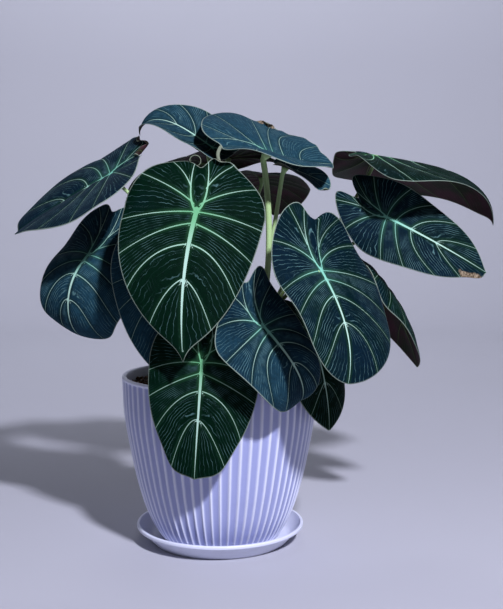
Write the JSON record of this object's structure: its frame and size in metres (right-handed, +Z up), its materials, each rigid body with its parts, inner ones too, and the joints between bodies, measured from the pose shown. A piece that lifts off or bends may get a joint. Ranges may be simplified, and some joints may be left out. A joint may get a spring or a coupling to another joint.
{
  "type": "potted foliage plant",
  "caption": "Potted velvet-leaved aroid: near-black arrowhead leaves on slender petioles rise from soil in a ribbed white pot on a saucer, for display indoors.",
  "frame": {"origin": "centre of the saucer's underside, on the surface that it stands on", "axes": "+Z up, -Y towards the viewer of the picture, +X to the viewer's right"},
  "size_m": [0.3738, 0.22, 0.3388],
  "materials": {
    "white_plastic": "satin",
    "potting_mix": "matte",
    "velvet_leaf": "satin",
    "green_petiole": "satin"
  },
  "bodies": {
    "root": {"saucer": "white_plastic", "pot": "white_plastic", "soil": "potting_mix", "stem_a": "green_petiole", "blade_a": "velvet_leaf", "stem_b": "green_petiole", "blade_b": "velvet_leaf", "stem_c": "green_petiole", "blade_c": "velvet_leaf", "stem_d": "green_petiole", "blade_d": "velvet_leaf", "stem_e": "green_petiole", "blade_e": "velvet_leaf", "stem_f": "green_petiole", "blade_f": "velvet_leaf", "stem_g": "green_petiole", "blade_g": "velvet_leaf", "stem_h": "green_petiole", "blade_h": "velvet_leaf", "stem_i": "green_petiole", "blade_i": "velvet_leaf", "stem_j": "green_petiole", "blade_j": "velvet_leaf", "stem_k": "green_petiole", "blade_k": "velvet_leaf", "stem_l": "green_petiole", "blade_l": "velvet_leaf", "stem_m": "green_petiole", "blade_m": "velvet_leaf", "stem_n": "green_petiole", "blade_n": "velvet_leaf", "stem_o": "green_petiole", "blade_o": "velvet_leaf", "stem_p": "green_petiole", "blade_p": "velvet_leaf"}
  },
  "joints": []
}
